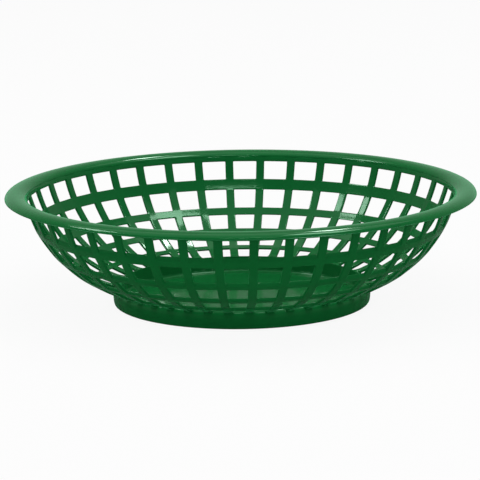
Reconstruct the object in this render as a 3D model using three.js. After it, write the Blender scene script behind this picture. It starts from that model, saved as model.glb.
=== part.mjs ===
// Round fast food basket: a lattice bowl of ribs and hoops between a rolled rim and a foot with a solid floor.
// Millimetres, +Z up, origin in the middle of the plane that the foot stands on.
import * as THREE from 'three';

// Rim
const RIM_RADIUS = 101.6;        // outermost reach of the rolled rim
const RIM_OVERHANG = 8.7;        // how far the rim reaches out beyond the wall
const RIM_TOP = 49.8;            // height of the rim's crest above the table
const RIM_DOME = 2.5;            // the rim's two edges lie this far below its crest
const RIM_THICKNESS = 1.4;       // thickness of the rim's skin
const LIP_LENGTH = 0.2;          // straight lip below the rim's outer edge
const SKIRT_HEIGHT = 2.3;        // plain band of wall between the rim and the top row of windows

// Bowl wall, measured on the ribs' outer face
const MOUTH_RADIUS = RIM_RADIUS - RIM_OVERHANG;  // outer radius of the wall at the skirt's lower edge
const FOOT_RADIUS = 55.3;        // outer radius of the foot, where the wall ends
const WALL_FOOT_HEIGHT = 7.0;    // height at which the wall's outer face meets the foot
const WALL_ARC_RADIUS = 54.2;    // radius of the wall's bulge, seen in section
const WALL_DEPTH = 1.2;          // ribs and hoops are flush with each other, inside and outside

// Lattice
const RIB_COUNT = 40;
const RIB_WIDTH = 3.7;
const HOOP_WIDTHS = [5.4, 4.0, 3.4, 2.7];        // widths of the hoops' inner faces, from the rim down
const HOOP_DRAFT = 9;            // degrees by which a hoop's upper side leans away from upright
const HOOP_INSET = 0.5;          // a hoop's lower side is set back by this much on the outside
const ROW_SHARES = [8.1, 8.8, 7.7, 7.8, 6.5];    // relative heights of the window rows, from the rim down
const SEAT_GAP = 0.3;            // clearance between members that meet

// Foot and floor
const FOOT_WALL = 2.4;           // thickness of the foot band
const FLOOR_CLEARANCE = 0.2;     // height of the floor's underside above the table, beside the foot band
const FLOOR_THICKNESS = 1.0;
const PANEL_RADIUS = 34;         // radius of the raised middle of the floor
const PANEL_RAISE = 0.6;         // how much higher the middle of the floor lies

// Fineness of the round shapes
const RING_SEGMENTS = 2 * RIB_COUNT;
const RIB_SEGMENTS = 15;
const ROW_SEGMENTS = 3;
const DOME_SEGMENTS = 10;

const GREEN = 0x14622f;
const plastic = new THREE.MeshStandardMaterial({ color: GREEN, roughness: 0.32, metalness: 0 });

// Wall arc in the plane of radius and height: its centre follows from its two ends and its radius.
const wallFoot = new THREE.Vector2(FOOT_RADIUS, WALL_FOOT_HEIGHT);
const wallTop = new THREE.Vector2(MOUTH_RADIUS, RIM_TOP - RIM_DOME - SKIRT_HEIGHT);
const chord = wallTop.clone().sub(wallFoot);
const towardsInside = new THREE.Vector2(-chord.y, chord.x).normalize();
const arcCentre = wallFoot.clone().add(wallTop).multiplyScalar(0.5)
  .addScaledVector(towardsInside, Math.sqrt(WALL_ARC_RADIUS ** 2 - chord.lengthSq() / 4));

// Angles on the arc are counted from straight down, so that they grow from the foot to the rim.
const arcAngle = (point) => Math.atan2(point.x - arcCentre.x, arcCentre.y - point.y);
const topAngle = arcAngle(wallTop);
const footAngle = arcAngle(wallFoot);
const faceRadius = WALL_ARC_RADIUS - WALL_DEPTH;

// Where a rib and a hoop cross, the rib keeps the outer layer of the wall and the hoop the inner one.
const ribLayer = (WALL_DEPTH - SEAT_GAP) / 2;
const hoopLayer = WALL_DEPTH - ribLayer;

/** Point of the wall's section at an angle on the arc and a depth below the ribs' outer face. */
function onWall(angle, depth) {
  const radius = WALL_ARC_RADIUS - depth;
  return new THREE.Vector2(arcCentre.x + radius * Math.sin(angle), arcCentre.y - radius * Math.cos(angle));
}

/** Angle on the arc at which the wall, at a depth, has a given distance from the basket's axis. */
function angleAtRadius(distance, depth) {
  return Math.asin((distance - arcCentre.x) / (WALL_ARC_RADIUS - depth));
}

/** Angle on the arc at which the wall, at a depth, has a given height. */
function angleAtHeight(height, depth) {
  return Math.acos((arcCentre.y - height) / (WALL_ARC_RADIUS - depth));
}

const root = new THREE.Group();

function addPiece(name, geometry, turn = 0) {
  const piece = new THREE.Mesh(geometry, plastic);
  piece.name = name;
  piece.rotation.z = turn;
  root.add(piece);
}

/** Solid ring from a closed section, given anticlockwise as points of radius and height. */
function ring(section) {
  const outline = [...section, section[0]];
  return new THREE.LatheGeometry(outline, RING_SEGMENTS).rotateX(Math.PI / 2);
}

/** Rim: a skirt on the wall and a domed flange, open below, that ends in a short lip. */
function rimSection() {
  const edgeHeight = RIM_TOP - RIM_DOME;
  const innerEdge = onWall(angleAtHeight(edgeHeight, WALL_DEPTH), WALL_DEPTH).x;
  const skirtTop = onWall(angleAtHeight(edgeHeight, 0), 0).x;
  const lipInside = RIM_RADIUS - RIM_THICKNESS;
  const lipBottom = edgeHeight - LIP_LENGTH;
  const dome = (inside, outside, rise) => Array.from({ length: DOME_SEGMENTS + 1 }, (_, step) => {
    const turn = Math.PI * step / DOME_SEGMENTS;
    const half = (outside - inside) / 2;
    return new THREE.Vector2(outside - half + half * Math.cos(turn), edgeHeight + rise * Math.sin(turn));
  });
  return [
    onWall(topAngle, WALL_DEPTH),
    onWall(topAngle, 0),
    ...dome(skirtTop, lipInside, RIM_DOME - RIM_THICKNESS).reverse(),
    new THREE.Vector2(lipInside, lipBottom),
    new THREE.Vector2(RIM_RADIUS, lipBottom),
    ...dome(innerEdge, RIM_RADIUS, RIM_DOME),
  ];
}

/** Angles of the hoops' upper and lower edges on the wall's inner face, from the rim down. */
function hoopEdges() {
  const sum = (values) => values.reduce((total, value) => total + value, 0);
  const freeLength = (topAngle - footAngle) * faceRadius - sum(HOOP_WIDTHS);
  const rowUnit = freeLength / sum(ROW_SHARES);
  let along = 0;
  return HOOP_WIDTHS.map((width, index) => {
    along += ROW_SHARES[index] * rowUnit;
    const upper = topAngle - along / faceRadius;
    along += width;
    return { upper, lower: topAngle - along / faceRadius };
  });
}

/** One hoop: a ring as deep as the wall, with a notch in its outer side for each rib. */
function hoopGeometry({ upper, lower }) {
  const lean = Math.tan(upper - THREE.MathUtils.degToRad(HOOP_DRAFT));
  const section = [0, hoopLayer, WALL_DEPTH].map((depth) => {
    const share = 1 - depth / WALL_DEPTH;
    return [
      onWall(lower + share * HOOP_INSET / faceRadius, depth),
      onWall(upper - share * WALL_DEPTH * lean / faceRadius, depth),
    ];
  });
  const pitch = 2 * Math.PI / RIB_COUNT;
  const seat = RIB_WIDTH / 2 + SEAT_GAP;
  const positions = [];
  const indices = [];
  const quad = (a, b, c, d) => indices.push(a, b, c, a, c, d);
  const stations = [];
  for (let rib = 0; rib < RIB_COUNT; rib += 1) {
    const turn = (rib + 0.5) * pitch;
    stations.push({ turn, offset: -seat, notchAfter: true }, { turn, offset: seat, notchBefore: true });
    stations.push({ turn: turn + pitch / 2, offset: 0 });
  }
  for (const { turn, offset } of stations) {
    for (const point of section.flat()) {
      const out = Math.sqrt(point.x ** 2 - offset ** 2);
      positions.push(out * Math.cos(turn) - offset * Math.sin(turn));
      positions.push(out * Math.sin(turn) + offset * Math.cos(turn));
      positions.push(point.y);
    }
  }
  stations.forEach((station, index) => {
    const here = 6 * index;
    const next = 6 * ((index + 1) % stations.length);
    const outermost = station.notchAfter ? 2 : 0;
    quad(here + outermost, next + outermost, next + outermost + 1, here + outermost + 1);
    quad(here + 4, here + 5, next + 5, next + 4);
    for (let layer = outermost; layer < 4; layer += 2) {
      quad(here + layer + 1, next + layer + 1, next + layer + 3, here + layer + 3);
      quad(here + layer, here + layer + 2, next + layer + 2, next + layer);
    }
    if (station.notchAfter) quad(here, here + 2, here + 3, here + 1);
    if (station.notchBefore) quad(here, here + 1, here + 3, here + 2);
  });
  const geometry = new THREE.BufferGeometry();
  geometry.setAttribute('position', new THREE.Float32BufferAttribute(positions, 3));
  geometry.setIndex(indices);
  geometry.computeVertexNormals();
  return geometry;
}

function addHoops() {
  hoopEdges().forEach((edges, index) => addPiece(`hoop_${index + 1}`, hoopGeometry(edges)));
}

/** One rib: a curved bar from just outside the foot to just below the skirt, notched inside where hoops pass. */
function ribGeometry() {
  const footEnd = FOOT_RADIUS + SEAT_GAP;
  const outerStart = angleAtRadius(footEnd, 0);
  const innerStart = angleAtRadius(footEnd, WALL_DEPTH);
  const clearance = SEAT_GAP / faceRadius;
  const end = topAngle - clearance;
  const outline = [];
  const follow = (from, to, depth, steps) => {
    for (let step = 0; step <= steps; step += 1) {
      outline.push(onWall(from + (to - from) * step / steps, depth));
    }
  };
  follow(outerStart, end, 0, RIB_SEGMENTS);
  let rowTop = end;
  for (const { upper, lower } of hoopEdges()) {
    follow(rowTop, upper + clearance, WALL_DEPTH, ROW_SEGMENTS);
    follow(upper + clearance, lower - clearance, ribLayer, ROW_SEGMENTS);
    rowTop = lower - clearance;
  }
  follow(rowTop, innerStart, WALL_DEPTH, ROW_SEGMENTS);
  const bar = new THREE.ExtrudeGeometry(new THREE.Shape(outline), { depth: RIB_WIDTH, bevelEnabled: false });
  return bar.translate(0, 0, -RIB_WIDTH / 2).rotateX(Math.PI / 2);
}

function addRibs() {
  const pitch = 2 * Math.PI / RIB_COUNT;
  for (let index = 0; index < RIB_COUNT; index += 1) {
    addPiece(`rib_${String(index + 1).padStart(2, '0')}`, ribGeometry(), (index + 0.5) * pitch);
  }
}

/** Foot band: the upright ring that the ribs run into, as high as their inner faces. */
function footSection() {
  const top = onWall(angleAtRadius(FOOT_RADIUS, WALL_DEPTH), WALL_DEPTH).y;
  const inside = FOOT_RADIUS - FOOT_WALL;
  return [
    new THREE.Vector2(inside, 0),
    new THREE.Vector2(FOOT_RADIUS, 0),
    new THREE.Vector2(FOOT_RADIUS, top),
    new THREE.Vector2(inside, top),
  ];
}

/** Floor: a flat ring inside the foot band. */
function floorRingSection() {
  const outside = FOOT_RADIUS - FOOT_WALL - SEAT_GAP;
  const top = FLOOR_CLEARANCE + FLOOR_THICKNESS;
  return [
    new THREE.Vector2(PANEL_RADIUS, FLOOR_CLEARANCE),
    new THREE.Vector2(outside, FLOOR_CLEARANCE),
    new THREE.Vector2(outside, top),
    new THREE.Vector2(PANEL_RADIUS, top),
  ];
}

/** Raised round panel in the middle of the floor. */
function floorPanelGeometry() {
  const radius = PANEL_RADIUS - SEAT_GAP;
  const middle = FLOOR_CLEARANCE + PANEL_RAISE + FLOOR_THICKNESS / 2;
  const disc = new THREE.CylinderGeometry(radius, radius, FLOOR_THICKNESS, RING_SEGMENTS);
  return disc.rotateX(Math.PI / 2).translate(0, 0, middle);
}

addPiece('rim', ring(rimSection()));
addHoops();
addRibs();
addPiece('foot_band', ring(footSection()));
addPiece('floor_ring', ring(floorRingSection()));
addPiece('floor_panel', floorPanelGeometry());

export default root;
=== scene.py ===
"""Round fast food basket of glossy green plastic: its looks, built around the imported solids.

Lengths are in millimetres up to the point where a mesh, a lamp or the camera takes them in metres.
"""
import math

import bpy
import numpy as np
from mathutils import Matrix, Vector


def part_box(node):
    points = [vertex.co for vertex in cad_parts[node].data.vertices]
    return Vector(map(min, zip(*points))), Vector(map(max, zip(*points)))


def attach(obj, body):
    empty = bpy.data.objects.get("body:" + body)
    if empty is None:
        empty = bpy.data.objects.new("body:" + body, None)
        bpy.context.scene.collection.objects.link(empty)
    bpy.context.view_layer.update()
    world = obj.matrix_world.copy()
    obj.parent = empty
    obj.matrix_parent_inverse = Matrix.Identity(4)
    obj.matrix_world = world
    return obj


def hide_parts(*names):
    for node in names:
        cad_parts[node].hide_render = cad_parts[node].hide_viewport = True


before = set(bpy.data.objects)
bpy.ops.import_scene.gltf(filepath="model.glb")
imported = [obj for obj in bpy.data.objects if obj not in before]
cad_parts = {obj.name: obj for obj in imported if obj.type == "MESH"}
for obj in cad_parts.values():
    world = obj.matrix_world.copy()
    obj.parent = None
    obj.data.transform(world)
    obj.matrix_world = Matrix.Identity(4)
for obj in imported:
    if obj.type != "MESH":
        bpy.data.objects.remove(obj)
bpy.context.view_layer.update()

MM = 0.001

# Sizes read from the solids
rim_low, rim_high = (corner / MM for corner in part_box("rim"))
_, foot_high = (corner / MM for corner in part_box("foot_band"))
ring_low, ring_high = (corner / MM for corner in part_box("floor_ring"))
panel_low, panel_high = (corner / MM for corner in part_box("floor_panel"))
RIBS = sorted(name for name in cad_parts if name.startswith("rib_"))
HOOPS = sorted(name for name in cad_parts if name.startswith("hoop_"))
RIM_RADIUS = rim_high.x
RIM_TOP = rim_high.z
SKIRT_BOTTOM = rim_low.z
FOOT_RADIUS = foot_high.x
FOOT_TOP = foot_high.z
FLOOR_TOP = ring_high.z
FLOOR_BOTTOM = ring_low.z
PANEL_RADIUS = panel_high.x
PANEL_TOP = panel_high.z
PANEL_BOTTOM = panel_low.z

# Rim
RIM_OVERHANG = 8.7           # how far the rim reaches out beyond the wall
RIM_DOME = 2.5               # the rim's two edges lie this far below its crest
RIM_THICKNESS = 1.4
LIP_LENGTH = 0.2
LIP_ROUNDING = 0.4
RIM_TENON = (0.3, 0.7)       # shares of the wall's depth between which the rim reaches down into the skirt

# Bowl wall, measured on the ribs' outer face
WALL_FOOT_HEIGHT = 7.0
WALL_ARC_RADIUS = 54.2
WALL_DEPTH = 1.2
RIB_WIDTH = 3.7
HOOP_WIDTHS = (5.4, 4.0, 3.4, 2.7)
HOOP_DRAFT = 9               # degrees by which a hoop's upper side leans away from upright
HOOP_INSET = 0.5             # a hoop's lower side is set back by this much on the outside
ROW_SHARES = (8.1, 8.8, 7.7, 7.8, 6.5)

# Foot and floor
FOOT_WALL = 2.4
FOOT_SWELL = 0.6             # the foot's outer face swells by this much below the ribs
FOOT_TAPER = (0.9, 0.5)      # shares of the swell that are left halfway down and at the bottom
FOOT_SHOULDER = (2.6, 4.2)   # width and height of the rounding at the top of the foot's outer face
RIB_END = 40                 # degrees on that rounding at which the ribs' outer face meets it
FOOT_COVE = 1.0              # reach of the hollow in which a rib runs down into the foot
FOOT_ROUNDING = 0.6          # at the foot's lower edge
FLOOR_FILLET = 1.4
FLOOR_TENON = 0.8            # how far the floor reaches into the foot band
FLOOR_BORDER = 0.3           # narrow strip under the floor beside the foot band
PANEL_STEP = 1.6             # width of the slope between the floor's two levels
GATE_RADIUS = 4.5            # shallow dish under the middle of the floor, where the plastic entered the mould
GATE_DEPTH = 0.35
GATE_SLOPE = 0.5             # width of the dish's sloping edge
GATE_NUB = 1.1
NUB_ROUNDING = 0.3

# Fineness
HOLD = 0.45                  # distance of the cage lines that keep an edge's rounding tight
RING_SEGMENTS = 240
CREST_STEPS = 36             # steps across the rim's upper side
HOLLOW_STEPS = 14            # steps across its hollow underside
LIP_STEPS = 4
FILLET_STEPS = 8
SLOPE_STEPS = 8
NUB_STEPS = 3

# Photograph: where the camera stood
IMAGE_PIXELS = 480
FOCAL_PIXELS = 2664.9
SENSOR = 36
CAMERA_DISTANCE = 1155
CAMERA_ELEVATION = 11.64
CAMERA_AZIMUTH = 1.33
CAMERA_ROLL = -0.757
AIM_HEIGHT = 25
AIM_PIXEL = (241.24, 243.62)

# Room and table
LAMP_AIM = (0, 0, 30)
ROOM_FRONT = -0.6            # directions along Y between which the room grows brighter in the gloss
ROOM_BACK = 0.95
TABLE_REACH = 4000
TABLE_DROP = 0.05            # below the foot, so that the two do not share a plane
TABLE_TONE = 0.7
TABLE_TONE_IN_GLOSS = 0.12
TABLE_WHITE = 0.9            # share of plain white in what the camera sees of the table

# Wall arc in the plane of radius and height, with angles counted from straight down
wall_foot = np.array([FOOT_RADIUS, WALL_FOOT_HEIGHT])
wall_top = np.array([RIM_RADIUS - RIM_OVERHANG, SKIRT_BOTTOM])
chord = wall_top - wall_foot
half_chord = np.hypot(*chord) / 2
towards_inside = np.array([-chord[1], chord[0]]) / (2 * half_chord)
arc_centre = (wall_foot + wall_top) / 2 + towards_inside * math.sqrt(WALL_ARC_RADIUS**2 - half_chord**2)


def arc_angle(point):
    return math.atan2(point[0] - arc_centre[0], arc_centre[1] - point[1])


def on_wall(angle, depth):
    """Radius and height of the wall's section at an angle on the arc, a depth below the ribs' outer face."""
    radius = WALL_ARC_RADIUS - depth
    return arc_centre[0] + radius * math.sin(angle), arc_centre[1] - radius * math.cos(angle)


def angle_at_height(height, depth):
    return math.acos((arc_centre[1] - height) / (WALL_ARC_RADIUS - depth))


TOP_ANGLE = arc_angle(wall_top)
FOOT_ANGLE = arc_angle(wall_foot)


def bend(centre, radii, start, end, steps):
    """Points along an elliptical arc, with angles in degrees."""
    turns = [math.radians(start + (end - start) * step / steps) for step in range(steps + 1)]
    return [(centre[0] + radii[0] * math.cos(turn), centre[1] + radii[1] * math.sin(turn)) for turn in turns]


def new_piece(name, points, faces, replaced):
    """A smooth mesh piece of the basket, from points in millimetres, that stands for some of the solids."""
    mesh = bpy.data.meshes.new(name)
    mesh.from_pydata([tuple(coordinate * MM for coordinate in point) for point in points], [], faces)
    mesh.validate()
    mesh.shade_smooth()
    piece = bpy.data.objects.new(name, mesh)
    bpy.context.scene.collection.objects.link(piece)
    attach(piece, "root")
    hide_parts(*replaced)
    return piece


# Bowl: ribs, hoops, skirt and foot band as one skin over cells that share their corners
LINES_PER_RIB = 6
RIB_CELLS = 3                # of the cells between a rib's lines and the next rib's, those inside the rib


def column_angle(line, radius):
    """Angle round the axis, at a distance from it, of a cage line that runs down beside a rib's edge."""
    rib, place = divmod(line, LINES_PER_RIB)
    half = RIB_WIDTH / 2
    offsets = (-half, HOLD - half, half - HOLD, half, half + HOLD, -half - HOLD)
    centre = rib + 0.5 + (place == LINES_PER_RIB - 1)
    return centre * 2 * math.pi / len(RIBS) + math.asin(offsets[place] / radius)


def wall_levels():
    """The wall's level cage lines from the rim down, and for each space below a line whether a hoop fills it.

    A line is its angle at the inner face and the change of that angle at the outer face.
    """
    face_radius = WALL_ARC_RADIUS - WALL_DEPTH
    hold = HOLD / face_radius
    rise = HOOP_INSET / face_radius
    free = (TOP_ANGLE - FOOT_ANGLE) - sum(HOOP_WIDTHS) / face_radius
    rows = [free * share / sum(ROW_SHARES) for share in ROW_SHARES]
    hoops = [width / face_radius for width in HOOP_WIDTHS]
    levels, in_hoop = [], []
    angle = TOP_ANGLE
    for index, row in enumerate(rows):
        above = rise if index else 0
        below = 0
        if index < len(hoops):
            below = -WALL_DEPTH * math.tan(angle - row - math.radians(HOOP_DRAFT)) / face_radius
        end = hold if index < len(hoops) else FOOT_COVE / face_radius
        levels += [(angle, above), (angle - hold, above), (angle - row / 2, 0), (angle - row + end, below)]
        in_hoop += [False] * 4
        angle -= row
        if below:
            hoop = hoops[index]
            levels += [(angle, below), (angle - hold, below)]
            levels += [(angle - hoop / 2, 0), (angle - hoop + hold, rise)]
            in_hoop += [True] * 4
            angle -= hoop
    levels.append((angle, 0))
    return levels, in_hoop


def cell_corners(member, row, column):
    """Keys of a section cell's four corners, in their order round it."""
    return tuple((member, row + down, column + across) for down, across in ((0, 0), (0, 1), (1, 1), (1, 0)))


def bowl_cells():
    """Section points of the bowl by key, and the cells between them.

    A cell is the keys of its four corners, and whether it is filled between the ribs too.
    """
    depths = (0, WALL_DEPTH / 2, WALL_DEPTH)
    inner = len(depths) - 1
    levels, in_hoop = wall_levels()
    last = len(levels) - 1
    section = {}
    cells = []

    for row, (angle, change) in enumerate(levels):
        for column, depth in enumerate(depths):
            section["wall", row, column] = on_wall(angle + change * (1 - depth / WALL_DEPTH), depth)
    for row, hoop in enumerate(in_hoop):
        for column in range(inner):
            cells.append((cell_corners("wall", row, column), hoop))

    skirt_top = RIM_TOP - RIM_DOME + HOLD
    for column, depth in enumerate(depths):
        section["skirt", 0, column] = on_wall(angle_at_height(skirt_top, depth), depth)
        section["skirt", 1, column] = on_wall(TOP_ANGLE + HOLD / WALL_ARC_RADIUS, depth)
    shared = {("skirt", 2, column): ("wall", 0, column) for column in range(inner + 1)}
    for row in range(2):
        for column in range(inner):
            corners = cell_corners("skirt", row, column)
            cells.append((tuple(shared.get(key, key) for key in corners), True))

    wide, high = FOOT_SHOULDER
    shoulder = (FOOT_RADIUS + FOOT_SWELL - wide, FOOT_TOP - high)
    outside = bend(shoulder, (wide, high), 90, RIB_END, inner)
    for column in range(inner + 1):
        section["wall", last, column] = outside[inner - column]
    outside += bend(shoulder, (wide, high), RIB_END, 0, 2)[1:]
    halfway, bottom = (FOOT_RADIUS + FOOT_SWELL * share for share in FOOT_TAPER)
    outside.append((halfway, (FOOT_TOP - high + FOOT_ROUNDING) / 2))
    outside += bend((bottom - FOOT_ROUNDING, FOOT_ROUNDING), (FOOT_ROUNDING, FOOT_ROUNDING), 0, -90, 2)
    inside = FOOT_RADIUS - FOOT_WALL
    hold = HOLD / FOOT_WALL
    shares = (0, hold, 1 - hold, 1)
    for row, (radius, height) in enumerate(outside):
        for column, share in enumerate(shares):
            section["foot", row, column] = (radius + (inside - radius) * share, height)
    shared = {("foot", step, 0): ("wall", last, inner - step) for step in range(inner + 1)}
    for row in range(len(outside) - 1):
        for column in range(len(shares) - 1):
            corners = cell_corners("foot", row, column)
            cells.append((tuple(shared.get(key, key) for key in corners), True))
    return section, cells


def skin_of(cells):
    """The faces that belong to one cell only, with their corners anticlockwise from outside."""
    faces = {}
    for near, far in cells:
        sides = [near, far[::-1]]
        for step in range(4):
            after = (step + 1) % 4
            sides.append((near[step], far[step], far[after], near[after]))
        for side in sides:
            key = frozenset(side)
            if key in faces:
                del faces[key]
            else:
                faces[key] = side
    return list(faces.values())


def make_bowl():
    section, section_cells = bowl_cells()
    lines = LINES_PER_RIB * len(RIBS)
    cells = []
    for line in range(lines):
        on_rib = line % LINES_PER_RIB < RIB_CELLS
        for corners, between in section_cells:
            if on_rib or between:
                near = tuple((key, line) for key in corners)
                far = tuple((key, (line + 1) % lines) for key in corners)
                cells.append((near, far))
    faces = skin_of(cells)
    index = {}
    for face in faces:
        for corner in face:
            index.setdefault(corner, len(index))
    points = []
    for key, line in index:
        radius, height = section[key]
        angle = column_angle(line, radius)
        points.append((radius * math.cos(angle), radius * math.sin(angle), height))
    bowl = new_piece("bowl", points, [[index[corner] for corner in face] for face in faces],
                     [*RIBS, *HOOPS, "foot_band"])
    round_edges(bowl)
    return bowl


def round_edges(piece):
    """Subdivides a cage once: its edges and inner corners become small roundings between true faces."""
    rounding = piece.modifiers.new("Rounding", "SUBSURF")
    rounding.levels = 1
    rounding.render_levels = 1
    piece.modifiers.new("Normals", "WEIGHTED_NORMAL")
    graph = bpy.context.evaluated_depsgraph_get()
    rounded = bpy.data.meshes.new_from_object(piece.evaluated_get(graph))
    piece.modifiers.clear()
    piece.data = rounded


# Rings turned from a section
def turned(section):
    """Points and faces of a ring or disc from its section, given anticlockwise as radius and height."""
    turns = [2 * math.pi * step / RING_SEGMENTS for step in range(RING_SEGMENTS)]
    points, rows = [], []
    for radius, height in section:
        if radius == 0:
            rows.append([len(points)] * RING_SEGMENTS)
            points.append((0, 0, height))
        else:
            rows.append(range(len(points), len(points) + RING_SEGMENTS))
            points += [(radius * math.cos(turn), radius * math.sin(turn), height) for turn in turns]
    faces = []
    for here, there in zip(rows, rows[1:] + rows[:1]):
        for step in range(RING_SEGMENTS):
            after = (step + 1) % RING_SEGMENTS
            corners = list(dict.fromkeys([here[step], here[after], there[after], there[step]]))
            if len(corners) > 2:
                faces.append(corners)
    return points, faces


def rim_section():
    edge = RIM_TOP - RIM_DOME
    inner = on_wall(angle_at_height(edge, WALL_DEPTH), WALL_DEPTH)[0]
    skirt = on_wall(angle_at_height(edge, 0), 0)[0]
    lip_inside = RIM_RADIUS - RIM_THICKNESS
    lip_centre = edge - LIP_LENGTH + LIP_ROUNDING
    lip_radii = (LIP_ROUNDING, LIP_ROUNDING)
    tenon_bottom = (edge + SKIRT_BOTTOM) / 2

    def dome(inside, outside, rise, start, end, steps):
        half = (outside - inside) / 2
        return bend((outside - half, edge), (half, rise), start, end, steps)

    return [
        *[(inner + share * WALL_DEPTH, tenon_bottom) for share in RIM_TENON],
        *dome(skirt, lip_inside, RIM_DOME - RIM_THICKNESS, 180, 0, HOLLOW_STEPS),
        *bend((lip_inside + LIP_ROUNDING, lip_centre), lip_radii, 180, 270, LIP_STEPS),
        *bend((RIM_RADIUS - LIP_ROUNDING, lip_centre), lip_radii, 270, 360, LIP_STEPS),
        *dome(inner, RIM_RADIUS, RIM_DOME, 0, 180, CREST_STEPS),
    ]


def make_rim():
    return new_piece("rim_roll", *turned(rim_section()), ["rim"])


def floor_section():
    seat = FOOT_RADIUS - FOOT_WALL
    step_in = PANEL_RADIUS - PANEL_STEP / 2
    step_out = PANEL_RADIUS + PANEL_STEP / 2
    gate = PANEL_BOTTOM + GATE_DEPTH
    nub = (GATE_NUB - NUB_ROUNDING, PANEL_BOTTOM + NUB_ROUNDING)
    fillet = (seat - FLOOR_FILLET, FLOOR_TOP + FLOOR_FILLET)

    def slope(high, low):
        """Smooth step between the floor's two levels, from the outside in."""
        shares = [step / SLOPE_STEPS for step in range(SLOPE_STEPS + 1)]
        return [(step_out + (step_in - step_out) * share, low + (high - low) * (3 * share**2 - 2 * share**3))
                for share in shares]

    return [
        (0, PANEL_BOTTOM),
        *bend(nub, (NUB_ROUNDING, NUB_ROUNDING), -90, 0, NUB_STEPS),
        (GATE_NUB, gate),
        (GATE_RADIUS - GATE_SLOPE, gate),
        (GATE_RADIUS, PANEL_BOTTOM),
        *slope(PANEL_BOTTOM, FLOOR_BOTTOM)[::-1],
        (seat - FLOOR_BORDER, FLOOR_BOTTOM),
        (seat + FLOOR_TENON, FLOOR_BOTTOM),
        (seat + FLOOR_TENON, FLOOR_TOP + FLOOR_FILLET),
        *bend(fillet, (FLOOR_FILLET, FLOOR_FILLET), 0, -90, FILLET_STEPS),
        *slope(PANEL_TOP, FLOOR_TOP),
        (step_in / 2, PANEL_TOP),
        (0, PANEL_TOP),
    ]


def make_floor():
    return new_piece("floor", *turned(floor_section()), ["floor_ring", "floor_panel"])


# Materials
def add_node(tree, kind, **inputs):
    """A node with some of its inputs set or linked, by their names with _ for a space."""
    node = tree.nodes.new(kind)
    for name, value in inputs.items():
        socket = node.inputs[name.replace("_", " ")]
        if isinstance(value, bpy.types.NodeSocket):
            tree.links.new(value, socket)
        else:
            socket.default_value = value
    return node


def calculate(tree, operation, *values):
    """Result of a calculation with linked or plain values."""
    node = tree.nodes.new("ShaderNodeMath")
    node.operation = operation
    for socket, value in zip(node.inputs, values):
        if isinstance(value, bpy.types.NodeSocket):
            tree.links.new(value, socket)
        else:
            socket.default_value = value
    return node.outputs[0]


def mix(tree, factor, first, second):
    """Mix of two shaders: the first where the factor is 0, the second where it is 1."""
    node = add_node(tree, "ShaderNodeMixShader", Fac=factor)
    tree.links.new(first.outputs[0], node.inputs[1])
    tree.links.new(second.outputs[0], node.inputs[2])
    return node


def ramp(tree, factor, stops):
    """Colour that runs through stops, each a position and a colour."""
    node = add_node(tree, "ShaderNodeValToRGB", Fac=factor)
    elements = node.color_ramp.elements
    while len(elements) < len(stops):
        elements.new(0.5)
    for element, (position, colour) in zip(elements, stops):
        element.position = position
        element.color = (*colour, 1)
    return node.outputs["Color"]


def grey_ramp(tree, factor, stops):
    return ramp(tree, factor, [(position, (tone, tone, tone)) for position, tone in stops])


def plastic_material(name, smooth, dull, sheen):
    """Injection-moulded plastic with a polish between two roughnesses.

    It has faint clouds in the colour, a slight ripple and a green sheen where it is seen at a slant.
    """
    material = bpy.data.materials.new(name)
    material.use_nodes = True
    tree = material.node_tree
    bsdf = tree.nodes["Principled BSDF"]
    place = add_node(tree, "ShaderNodeTexCoord").outputs["Object"]
    cloud = add_node(tree, "ShaderNodeTexNoise", Vector=place, Scale=45.0, Detail=4.0, Roughness=0.55)
    colour = ramp(tree, cloud.outputs["Fac"], (
        (0.3, (0.0034, 0.112, 0.0235)),
        (0.7, (0.0048, 0.126, 0.0275)),
    ))
    tree.links.new(colour, bsdf.inputs["Base Color"])
    polish = add_node(tree, "ShaderNodeTexNoise", Vector=place, Scale=160.0, Detail=3.0)
    rough = add_node(tree, "ShaderNodeMapRange", Value=polish.outputs["Fac"], To_Min=smooth, To_Max=dull)
    tree.links.new(rough.outputs["Result"], bsdf.inputs["Roughness"])
    ripple = add_node(tree, "ShaderNodeTexNoise", Vector=place, Scale=420.0, Detail=2.0)
    bump = add_node(tree, "ShaderNodeBump", Height=ripple.outputs["Fac"], Strength=0.05, Distance=0.0004)
    tree.links.new(bump.outputs["Normal"], bsdf.inputs["Normal"])
    bsdf.inputs["Specular IOR Level"].default_value = 0.2
    bsdf.inputs["Specular Tint"].default_value = (0.5, 1.0, 0.68, 1)
    bsdf.inputs["Sheen Weight"].default_value = sheen
    bsdf.inputs["Sheen Roughness"].default_value = 0.25
    bsdf.inputs["Sheen Tint"].default_value = (0.15, 1.0, 0.4, 1)
    return material


# Studio
def make_camera():
    elevation = math.radians(CAMERA_ELEVATION)
    azimuth = math.radians(CAMERA_AZIMUTH)
    level = math.cos(elevation)
    back = Vector((math.sin(azimuth) * level, -math.cos(azimuth) * level, math.sin(elevation)))
    data = bpy.data.cameras.new("camera")
    data.sensor_width = SENSOR
    data.lens = FOCAL_PIXELS * SENSOR / IMAGE_PIXELS
    data.shift_x = (IMAGE_PIXELS / 2 - AIM_PIXEL[0]) / IMAGE_PIXELS
    data.shift_y = (AIM_PIXEL[1] - IMAGE_PIXELS / 2) / IMAGE_PIXELS
    camera = bpy.data.objects.new("camera", data)
    turn = (-back).to_track_quat("-Z", "Y").to_matrix().to_4x4()
    place = Matrix.Translation((Vector((0, 0, AIM_HEIGHT)) + back * CAMERA_DISTANCE) * MM)
    camera.matrix_world = place @ turn @ Matrix.Rotation(math.radians(CAMERA_ROLL), 4, "Z")
    bpy.context.scene.collection.objects.link(camera)
    bpy.context.scene.camera = camera


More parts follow.
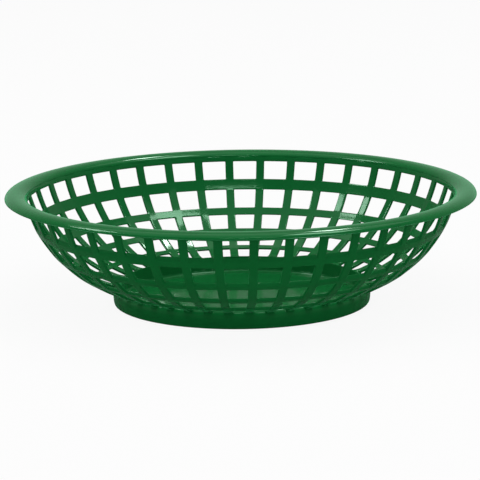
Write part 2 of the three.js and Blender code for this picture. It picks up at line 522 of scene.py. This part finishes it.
def add_lamp(name, place, size, power, glint=False):
    """A soft lamp, placed in millimetres and turned towards the basket. A glint shows in the gloss only."""
    data = bpy.data.lights.new(name, "AREA")
    data.shape = "RECTANGLE"
    data.size, data.size_y = (side * MM for side in size)
    data.energy = power
    lamp = bpy.data.objects.new(name, data)
    lamp.location = Vector(place) * MM
    lamp.rotation_mode = "QUATERNION"
    lamp.rotation_quaternion = (Vector(LAMP_AIM) - Vector(place)).to_track_quat("-Z", "Y")
    lamp.visible_diffuse = not glint
    bpy.context.scene.collection.objects.link(lamp)


def make_world():
    """White to the camera, an even light on the basket, and in its gloss a room that is dim in front."""
    world = bpy.data.worlds.new("studio")
    bpy.context.scene.world = world
    world.use_nodes = True
    tree = world.node_tree
    tree.nodes.clear()
    direction = add_node(tree, "ShaderNodeTexCoord").outputs["Generated"]
    axes = add_node(tree, "ShaderNodeSeparateXYZ", Vector=direction)
    behind = add_node(tree, "ShaderNodeMapRange", Value=axes.outputs["Y"],
                      From_Min=ROOM_FRONT, From_Max=ROOM_BACK)
    aside = calculate(tree, "ABSOLUTE", axes.outputs["X"])
    round_back = calculate(tree, "MAXIMUM", behind.outputs["Result"], aside)
    room = grey_ramp(tree, round_back, ((0.0, 0.10), (0.7, 0.28), (1.0, 0.33)))
    walls = grey_ramp(tree, aside, ((0.0, 0.5), (0.9, 0.95)))
    even = add_node(tree, "ShaderNodeBackground", Color=walls, Strength=1.0)
    seen = add_node(tree, "ShaderNodeBackground", Color=room, Strength=1.0)
    white = add_node(tree, "ShaderNodeBackground", Color=(1, 1, 1, 1), Strength=1.0)
    path = add_node(tree, "ShaderNodeLightPath")
    lit = mix(tree, path.outputs["Is Glossy Ray"], even, seen)
    mixed = mix(tree, path.outputs["Is Camera Ray"], lit, white)
    add_node(tree, "ShaderNodeOutputWorld", Surface=mixed.outputs[0])


def make_stage():
    """Pale floor that shows white to the camera, with the basket's shadow on it."""
    mesh = bpy.data.meshes.new("stage_floor")
    reach = TABLE_REACH * MM
    corners = ((-reach, -reach), (reach, -reach), (reach, reach), (-reach, reach))
    mesh.from_pydata([(x, y, -TABLE_DROP * MM) for x, y in corners], [], [(0, 1, 2, 3)])
    floor = bpy.data.objects.new("stage_floor", mesh)
    bpy.context.scene.collection.objects.link(floor)
    material = bpy.data.materials.new("stage_floor")
    material.use_nodes = True
    tree = material.node_tree
    tree.nodes.clear()
    path = add_node(tree, "ShaderNodeLightPath")
    tone = grey_ramp(tree, path.outputs["Is Glossy Ray"], ((0.0, TABLE_TONE), (1.0, TABLE_TONE_IN_GLOSS)))
    matt = add_node(tree, "ShaderNodeBsdfDiffuse", Color=tone)
    white = add_node(tree, "ShaderNodeEmission", Color=(1, 1, 1, 1), Strength=1.0)
    share = calculate(tree, "MULTIPLY", path.outputs["Is Camera Ray"], TABLE_WHITE)
    mixed = mix(tree, share, matt, white)
    add_node(tree, "ShaderNodeOutputMaterial", Surface=mixed.outputs[0])
    mesh.materials.append(material)


make_camera()
finishes = (
    (make_bowl(), plastic_material("green_plastic", smooth=0.07, dull=0.12, sheen=0.3)),
    (make_rim(), plastic_material("green_plastic_rim", smooth=0.07, dull=0.12, sheen=0.7)),
    (make_floor(), plastic_material("green_plastic_satin", smooth=0.12, dull=0.18, sheen=0.15)),
)
for piece, plastic in finishes:
    piece.data.materials.clear()
    piece.data.materials.append(plastic)
make_stage()
make_world()
add_lamp("overhead", place=(0, 0, 1200), size=(2000, 1600), power=11)
add_lamp("left", place=(-1040, 20, 1070), size=(520, 380), power=11, glint=True)
add_lamp("right", place=(560, -60, 1400), size=(380, 500), power=11, glint=True)
add_lamp("front", place=(92, -935, 1128), size=(560, 60), power=2.6, glint=True)
add_lamp("back", place=(320, 700, 1280), size=(150, 150), power=4.5, glint=True)
bpy.context.scene.view_settings.view_transform = "Standard"
